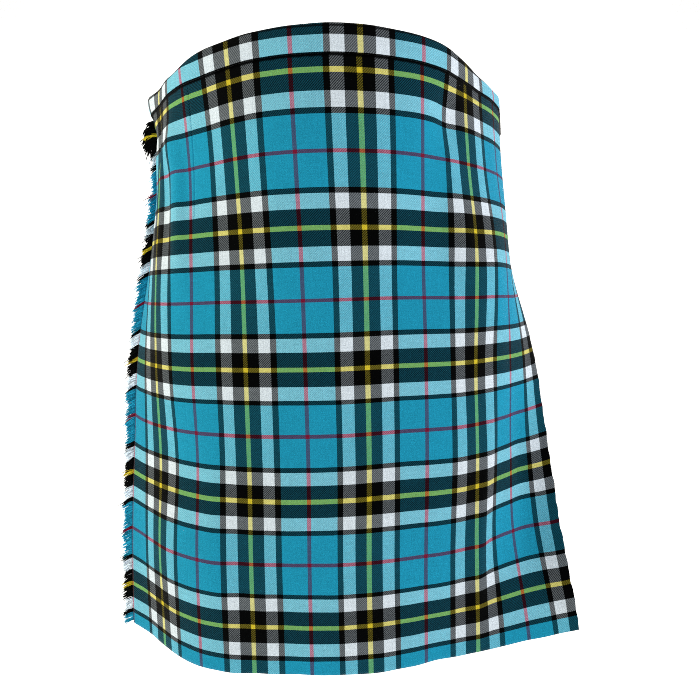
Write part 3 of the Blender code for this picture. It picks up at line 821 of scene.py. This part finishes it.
def loose_threads(name, lines, radii, down, finish):
    """Threads along rows of points, each with where it left the cloth as its place in the cut."""
    count, steps = lines.shape[:2]
    run = np.gradient(lines, axis=1)
    run /= np.linalg.norm(run, axis=2, keepdims=True)
    beside_run = np.cross(run, (0, 0, 1.0))
    beside_run /= np.linalg.norm(beside_run, axis=2, keepdims=True)
    above_run = np.cross(run, beside_run)
    turn = np.arange(THREAD_SIDES)[:, None] * 2 * math.pi / THREAD_SIDES
    rim = beside_run[:, :, None] * np.cos(turn) + above_run[:, :, None] * np.sin(turn)
    points = lines[:, :, None] + rim * radii[:, :, None, None]
    corner = np.arange(count * steps * THREAD_SIDES).reshape(count, steps, THREAD_SIDES)
    following = np.roll(corner, -1, 2)
    walls = np.stack([corner[:, :-1], following[:, :-1], following[:, 1:], corner[:, 1:]], -1)
    faces = np.concatenate([walls.reshape(-1, 4), corner[:, 0, ::-1], corner[:, -1]])
    spun = np.arange(count)[:, None, None] * THREAD_STEP + np.linspace(0, THREAD_LENGTH, steps)[:, None]
    places = in_cut(np.broadcast_to(spun, corner.shape), down[:, None, None])
    obj = cut_from(name, points, faces, places, finish)
    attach(obj, "root")
    return obj


# How the threads stand at each drop: their heading in degrees from the wearer's left, their fall
# below level, their length and how far outside the crease they start.
Stand = namedtuple("Stand", "drop heading fall length out")
STANDS = (
    Stand(0.018, 180, 24, 0.0130, 0.0040),
    Stand(0.030, 182, 28, 0.0180, 0.0055),
    Stand(0.046, 184, 34, 0.0190, 0.0045),
    Stand(0.053, 184, 48, 0.0150, 0.0015),
    Stand(0.066, 188, 34, 0.0150, 0.0000),
    Stand(0.120, 190, 30, 0.0175, 0.0000),
    Stand(0.165, 186, 32, 0.0150, 0.0000),
    Stand(0.240, 172, 28, 0.0135, 0.0000),
    Stand(0.610, 166, 28, 0.0140, 0.0000),
)


def make_fringe():
    chance = np.random.default_rng(11)
    along = np.linspace(0, 1, THREAD_POINTS)
    stands = np.array(STANDS)
    lines, radii, down = [], [], []
    for count in range(THREADS):
        share = (count + chance.uniform()) / THREADS
        drop = FRINGE_TOP + (FRINGE_END - FRINGE_TOP) * (0.6 * share + 0.4 * share ** 2)
        heading, fall, length, out = (np.interp(drop, stands[:, 0], column) for column in stands.T[1:])
        tuft = int(drop / TUFT)
        tousled = 1 - drop / TOUSLED_FADE if drop < TOUSLED_END else 0
        turn = math.radians(heading + 5 * math.sin(tuft * 2.3) + chance.normal(0, HEADING_SPREAD))
        away = np.array([math.cos(turn), math.sin(turn), 0])
        fall += (3 + 10 * tousled) * math.sin(tuft * 1.7) + chance.normal(0, FALL_SPREAD)
        steep = np.radians(fall + (DROOP + TOUSLED_DROOP * tousled) * (along - 0.5))
        ragged = 0.09 * math.sin(drop * 190 + 1) + 0.06 * math.sin(drop * 517)
        ragged += chance.normal(0, LENGTH_SPREAD)
        stray = chance.uniform() > 1 - STRAYS
        reach = length * (min(1 + ragged, 1.2) + STRAY * stray)
        root = on_apron([-0.0004], chance.uniform(-0.0004, 0.0016), drop)[0]
        root = root + away * out * chance.uniform(0, 1)
        together = (0.0006 + 0.003 * tousled) * math.sin(tuft * 5.1 + drop / TUFT * 2) * along ** 2
        line = root + np.outer(np.cumsum(np.cos(steep)) * reach / THREAD_POINTS, away)
        line[:, 2] -= np.cumsum(np.sin(steep)) * reach / THREAD_POINTS + together
        line[0] = root
        lines.append(line)
        radii.append(THREAD * (1 + 1.1 * tousled) * (1 - 0.4 * along ** 2))
        down.append(drop)
    lines, _ = sagging(np.array(lines))
    lines[..., 2] = np.maximum(lines[..., 2], cad_box[0][2] + 0.001)
    return loose_threads("fringe_threads", lines, np.array(radii), np.array(down), fringe_yarn())


def make_fringe_strip():
    across = np.linspace(*STRIP_EDGES, 6)
    points, places = [], []
    for drop in np.linspace(STRIP_TOP, FRINGE_END, 150):
        points.append(on_apron(across, STRIP_BEHIND, drop))
        places.append(in_cut(-across, drop))
    return hung_shell("fringe_strip", points, places, THIN_CLOTH,
                      tartan_cloth("worsted_tartan_fringe_strip"))


fringe = make_fringe()
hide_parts("fringe")
fringe_strip = make_fringe_strip()

# -----------------------------------------------------------------------------
# The straps and buckles: black bridle leather at either side of the waist, its edges dyed and
# stitched, drawn through a bent wire buckle that a shorter piece of leather holds to the band.

STRAP_MIDDLE = -0.012  # height of the straps' middles
STITCHED = 0.0102  # from there to the stitching
STITCH = 0.0034  # from one stitch to the next
STITCH_SHARE = 0.72  # of which thread shows
STITCH_WIDTH = 0.0004  # half of one
HIDE_DARK, HIDE_PALE = (0.005, 0.0045, 0.004, 1), (0.010, 0.009, 0.008, 1)
LINEN = (0.030, 0.028, 0.026, 1)  # the waxed thread
STEEL_DULL, STEEL_BRIGHT = (0.50, 0.50, 0.49, 1), (0.68, 0.68, 0.66, 1)


def bridle_leather():
    material, tree, shader = new_material("black_bridle_leather")
    place = node(tree, "ShaderNodeTexCoord").outputs["Object"]
    grain = node(tree, "ShaderNodeTexVoronoi", place, feature="SMOOTH_F1")
    grain.inputs["Scale"].default_value = 900
    grain.inputs["Smoothness"].default_value = 0.6
    creases = noise(tree, place, 120, 5)
    parts = node(tree, "ShaderNodeSeparateXYZ", place)
    from_middle = maths(tree, "ABSOLUTE", maths(tree, "SUBTRACT", parts.outputs[2], STRAP_MIDDLE))
    off_line = maths(tree, "ABSOLUTE", maths(tree, "SUBTRACT", from_middle, STITCHED))
    count = maths(tree, "FRACT", maths(tree, "DIVIDE", parts.outputs[1], STITCH))
    stitches = maths(tree, "MULTIPLY", maths(tree, "LESS_THAN", off_line, STITCH_WIDTH),
                     maths(tree, "LESS_THAN", count, STITCH_SHARE))
    hide = mixed(tree, creases, HIDE_DARK, HIDE_PALE)
    tree.links.new(mixed(tree, stitches, hide, LINEN), shader.inputs["Base Color"])
    tree.links.new(maths(tree, "MULTIPLY_ADD", creases, 0.25, 0.30), shader.inputs["Roughness"])
    shader.inputs["Specular IOR Level"].default_value = 0.25
    height = maths(tree, "ADD", maths(tree, "MULTIPLY", grain.outputs[0], 0.4), creases)
    height = maths(tree, "ADD", height, maths(tree, "MULTIPLY", stitches, 1.5))
    fine_bump(tree, shader, height, 0.0002, 0.6)
    return material


def buckle_steel():
    material, tree, shader = new_material("polished_buckle_steel")
    wear = noise(tree, node(tree, "ShaderNodeTexCoord").outputs["Object"], 260, 6)
    tree.links.new(mixed(tree, wear, STEEL_DULL, STEEL_BRIGHT), shader.inputs["Base Color"])
    tree.links.new(maths(tree, "MULTIPLY_ADD", wear, 0.22, 0.14), shader.inputs["Roughness"])
    shader.inputs["Metallic"].default_value = 1.0
    fine_bump(tree, shader, wear, 0.0001, 0.2)
    return material


def smooth_by_angle(angle):
    """Geometry nodes that shade faces smooth but for the edges sharper than an angle."""
    tree = bpy.data.node_groups.new("Burnished edges", "GeometryNodeTree")
    for way in ("INPUT", "OUTPUT"):
        tree.interface.new_socket("Geometry", in_out=way, socket_type="NodeSocketGeometry")
    source, result = tree.nodes.new("NodeGroupInput"), tree.nodes.new("NodeGroupOutput")
    joined = node(tree, "GeometryNodeMergeByDistance", source.outputs[0], None, 0.00001)
    faces = node(tree, "GeometryNodeSetShadeSmooth", joined.outputs[0], None, True)
    sharp = maths(tree, "GREATER_THAN", tree.nodes.new("GeometryNodeInputMeshEdgeAngle").outputs[0], angle)
    edges = node(tree, "GeometryNodeSetShadeSmooth", faces.outputs[0], sharp, False, domain="EDGE")
    tree.links.new(edges.outputs[0], result.inputs[0])
    return tree


SHARP = math.radians(32)  # edges sharper than this are rounded, and the others shaded smooth
EDGE_ROUNDING = 0.0005
burnished = smooth_by_angle(SHARP)
leather, steel = bridle_leather(), buckle_steel()
finishes = {"strap": leather, "keeper": leather, "chape": leather, "frame": steel, "prong": steel}
for name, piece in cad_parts.items():
    finish = finishes.get(name.split("_")[0])
    if finish:
        for slot in piece.material_slots:
            slot.material = finish
        piece.modifiers.new("Burnished edges", "NODES").node_group = burnished
        rounding = piece.modifiers.new("Rounded edges", "BEVEL")
        rounding.width = EDGE_ROUNDING
        rounding.segments = 3
        rounding.limit_method = "ANGLE"
        rounding.angle_limit = SHARP

# -----------------------------------------------------------------------------
# The room: a pale paper floor that sweeps up behind, soft lamps at both sides and overhead, and
# the camera close in front at the height of the hips, looking slightly down.


def make_room():
    floor_z = cad_box[0][2] - 0.45  # the hem hangs at the knee
    reach, rise, bend = 6.0, 5.0, 1.6
    turn = np.linspace(0, math.pi / 2, 12)
    profile = [(-reach, 0.0), *((1.5 + bend * math.sin(t), bend * (1 - math.cos(t))) for t in turn),
               (1.5 + bend, rise)]
    points = [(x, y, floor_z + z) for y, z in profile for x in (-reach, reach)]
    faces = [(2 * k, 2 * k + 1, 2 * k + 3, 2 * k + 2) for k in range(len(profile) - 1)]
    mesh = bpy.data.meshes.new("sweep")
    mesh.from_pydata(points, [], faces)
    mesh.shade_smooth()
    paper, _, shader = new_material("pale_paper")
    shader.inputs["Base Color"].default_value = (0.90, 0.90, 0.90, 1)
    shader.inputs["Roughness"].default_value = 0.9
    shader.inputs["Emission Color"].default_value = (1.0, 1.0, 1.0, 1)
    shader.inputs["Emission Strength"].default_value = 0.42
    mesh.materials.append(paper)
    placed("sweep", mesh)


def make_lamp(name, place, aim, size, watts, colour):
    light = bpy.data.lights.new(name, "AREA")
    light.shape = "DISK"
    light.size = size
    light.energy = watts
    light.color = colour
    lamp = placed(name, light)
    lamp.location = place
    lamp.rotation_euler = (Vector(aim) - Vector(place)).to_track_quat("-Z", "Y").to_euler()


make_room()
make_lamp("left_softbox", (-2.3, -0.5, 1.3), (0, 0, 0), 1.6, 64, (1.0, 0.96, 0.75))
make_lamp("right_softbox", (2.5, -0.5, 0.8), (0, 0, -0.1), 1.6, 46, (1.0, 0.98, 0.96))
make_lamp("front_softbox", (-0.3, -3.0, 0.8), (0, 0, -0.2), 1.6, 2.5, (1.0, 1.0, 1.0))
make_lamp("overhead", (0, 1.0, 2.6), (0, 0.6, -0.6), 2.6, 64, (1.0, 1.0, 1.0))

world = bpy.data.worlds.new("soft_daylight")
world.use_nodes = True
sky = world.node_tree.nodes["Background"]
sky.inputs[0].default_value = (1.0, 1.0, 1.0, 1)
sky.inputs[1].default_value = 0.25
bpy.context.scene.world = world
bpy.context.scene.view_settings.view_transform = "Standard"
bpy.context.scene.cycles.filter_width = 1.0  # a crisp picture, as a sharp lens gives
bpy.context.scene.cycles.use_denoising = False  # which would wash out the weave

CAMERA = (0.014, -0.600, -0.2178)
PITCH, ROLL = 5.69, 1.20  # degrees down, and over to the right
camera_data = bpy.data.cameras.new("camera")
camera_data.lens = 26
camera_data.sensor_width = 36
camera_data.clip_start = 0.01
camera = placed("camera", camera_data)
look = Matrix.Rotation(math.radians(90 - PITCH), 4, "X") @ Matrix.Rotation(math.radians(-ROLL), 4, "Z")
camera.matrix_world = Matrix.Translation(CAMERA) @ look
bpy.context.scene.camera = camera
